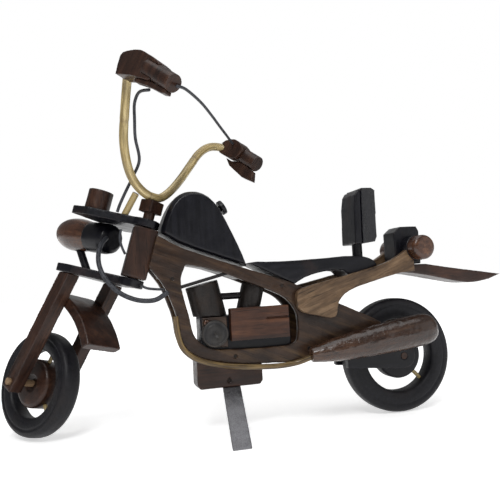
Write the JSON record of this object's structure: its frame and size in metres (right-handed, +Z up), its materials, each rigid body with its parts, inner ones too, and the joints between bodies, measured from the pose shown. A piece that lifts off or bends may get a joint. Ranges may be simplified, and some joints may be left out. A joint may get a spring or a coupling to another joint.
{
  "type": "model motorcycle",
  "caption": "Carved wooden chopper model with a steering fork, tall cane handlebar, rolling wheels, a high tail and a side stand.",
  "frame": {"origin": "middle of the side stand's foot, on the ground", "axes": "+X from the front wheel to the tail, +Y from the rider's left to the rider's right, +Z up"},
  "size_m": [0.3981, 0.1642, 0.2639],
  "materials": {
    "stained_wood": "dark red-brown stain, satin varnish",
    "light_wood": "brown stain, satin",
    "black_wood": "black paint over wood, satin",
    "cane": "natural cane, satin",
    "strip_metal": "dull grey strip",
    "nail_steel": "dark nail heads",
    "wire_sheath": "black sheathed wire"
  },
  "bodies": {
    "frame": {"frame_left": "stained_wood", "frame_right": "stained_wood", "neck_block": "stained_wood", "head_block": "stained_wood", "tank": "black_wood", "tank_cap": "black_wood", "seat": "black_wood", "backrest": "black_wood", "backrest_post": "black_wood", "engine_block": "stained_wood", "crank_cover": "stained_wood", "primary_disc": "stained_wood", "front_cylinder": "black_wood", "rear_cylinder": "black_wood", "intake_rod": "black_wood", "side_box": "light_wood", "choke_stick": "black_wood", "header_pipe": "cane", "silencer_left": "stained_wood", "silencer_right": "stained_wood", "stay_left": "black_wood", "stay_right": "black_wood", "rear_axle": "stained_wood", "tail_arm_left": "light_wood", "tail_arm_right": "light_wood", "tail_fin": "stained_wood", "tail_block": "black_wood", "lamp_collars": "black_wood", "tail_lamps": "stained_wood", "stand_block": "stained_wood", "stand_strip": "strip_metal", "nails": "nail_steel", "joint_cables": "wire_sheath"},
    "fork": {"stem": "stained_wood", "upper_plate": "black_wood", "lower_plate": "black_wood", "leg_left": "stained_wood", "leg_right": "stained_wood", "front_axle": "light_wood", "headlight_shell": "black_wood", "headlight_bullet": "stained_wood", "headlight_stay": "black_wood", "gauge": "stained_wood", "riser_block": "stained_wood", "handlebar": "cane", "bar_brace": "cane", "control_left": "stained_wood", "control_right": "stained_wood", "grip_left": "stained_wood", "grip_right": "stained_wood", "lever_left": "stained_wood", "lever_right": "stained_wood", "front_fender": "stained_wood", "cables": "wire_sheath"},
    "front_wheel": {"front_tyre": "black_wood", "front_hub": "stained_wood", "front_spokes": "cane"},
    "rear_wheel": {"rear_tyre": "black_wood", "rear_hub": "black_wood", "rear_spokes": "cane"}
  },
  "joints": [
    {"name": "steering", "type": "hinge", "parent": "frame", "child": "fork", "pos_m": [-0.0555, 0.05, 0.1275], "axis": [0.2924, 0, 0.9563], "range_deg": [0, 104], "deforming": ["joint_cables"]},
    {"name": "front_wheel_spin", "type": "hinge", "parent": "fork", "child": "front_wheel", "pos_m": [-0.12704, 0.10471, 0.03968], "axis": [0.7536, 0.6157, -0.2304], "continuous": true},
    {"name": "rear_wheel_spin", "type": "hinge", "parent": "frame", "child": "rear_wheel", "pos_m": [0.141, 0.05, 0.044], "axis": [0, 1, 0], "continuous": true}
  ]
}
